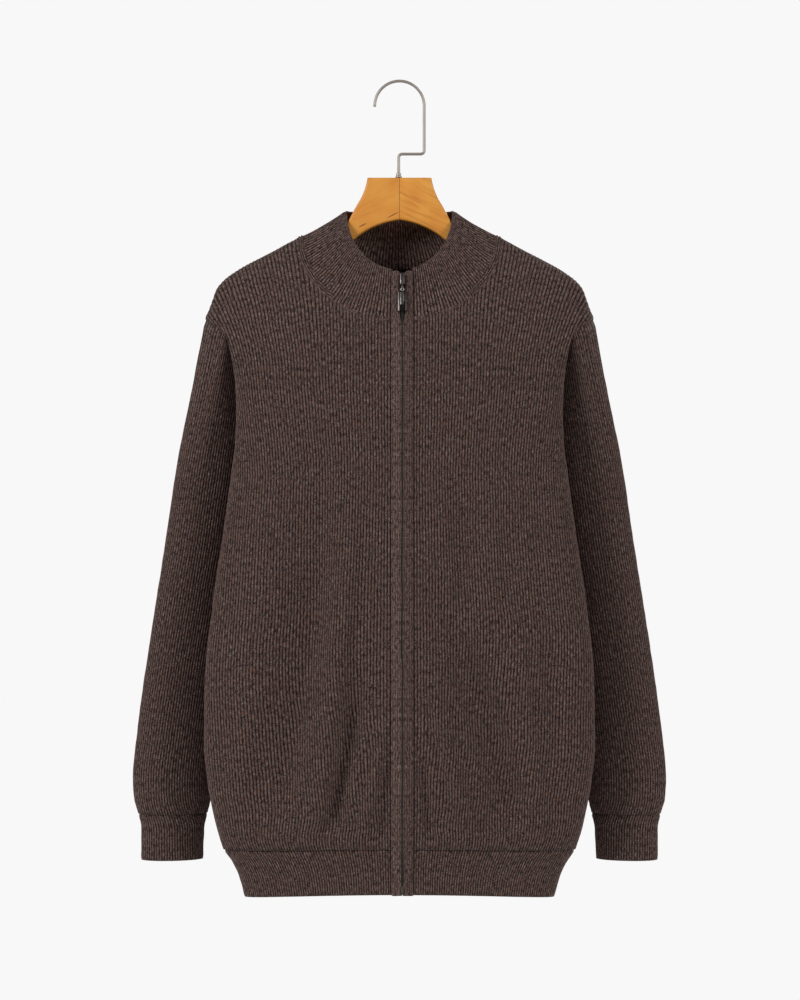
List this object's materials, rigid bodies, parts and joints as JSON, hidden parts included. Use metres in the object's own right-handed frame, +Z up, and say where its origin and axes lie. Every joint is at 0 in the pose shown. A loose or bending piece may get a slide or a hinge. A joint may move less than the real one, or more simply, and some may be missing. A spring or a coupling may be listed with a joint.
{
  "type": "full-zip ribbed knit cardigan on a wooden hanger",
  "caption": "Long-sleeved ribbed wool cardigan with a stand collar and a full-length zip, hanging on a wooden hanger with a bent wire hook.",
  "frame": {"origin": "inner top of the hook, where a rail carries the hanger", "axes": "+Z up, the front faces -Y, +X towards the wearer's left"},
  "size_m": [0.5896, 0.1587, 0.895],
  "materials": {
    "knit_wool": "brown melange wool in a fine rib, matt, slightly hairy",
    "zip_tape": "dark woven zip tape, matt",
    "gunmetal": "dark gunmetal plating, satin with bright edges",
    "hanger_wood": "clear varnished honey-coloured hardwood",
    "hook_wire": "nickel-plated wire, satin"
  },
  "bodies": {
    "garment": {"front_left": "knit_wool", "front_right": "knit_wool", "back": "knit_wool", "hem_front_left": "knit_wool", "hem_front_right": "knit_wool", "hem_back": "knit_wool", "sleeve_left": "knit_wool", "sleeve_right": "knit_wool", "cuff_left": "knit_wool", "cuff_right": "knit_wool", "collar": "knit_wool", "placket_left": "knit_wool", "placket_right": "knit_wool", "zip_tape_left": "zip_tape", "zip_tape_right": "zip_tape", "zip_box": "gunmetal", "zip_slider": "gunmetal", "hanger_arm_left": "hanger_wood", "hanger_arm_right": "hanger_wood", "hanger_ferrule": "hook_wire", "hanger_hook": "hook_wire"},
    "pull_tab": {"zip_pull_tab": "gunmetal"}
  },
  "joints": [
    {"name": "pull_tab_hinge", "type": "hinge", "parent": "garment", "child": "pull_tab", "pos_m": [0.003, -0.05618, -0.22521], "axis": [-1, 0, 0], "range_deg": [0, 115]}
  ]
}
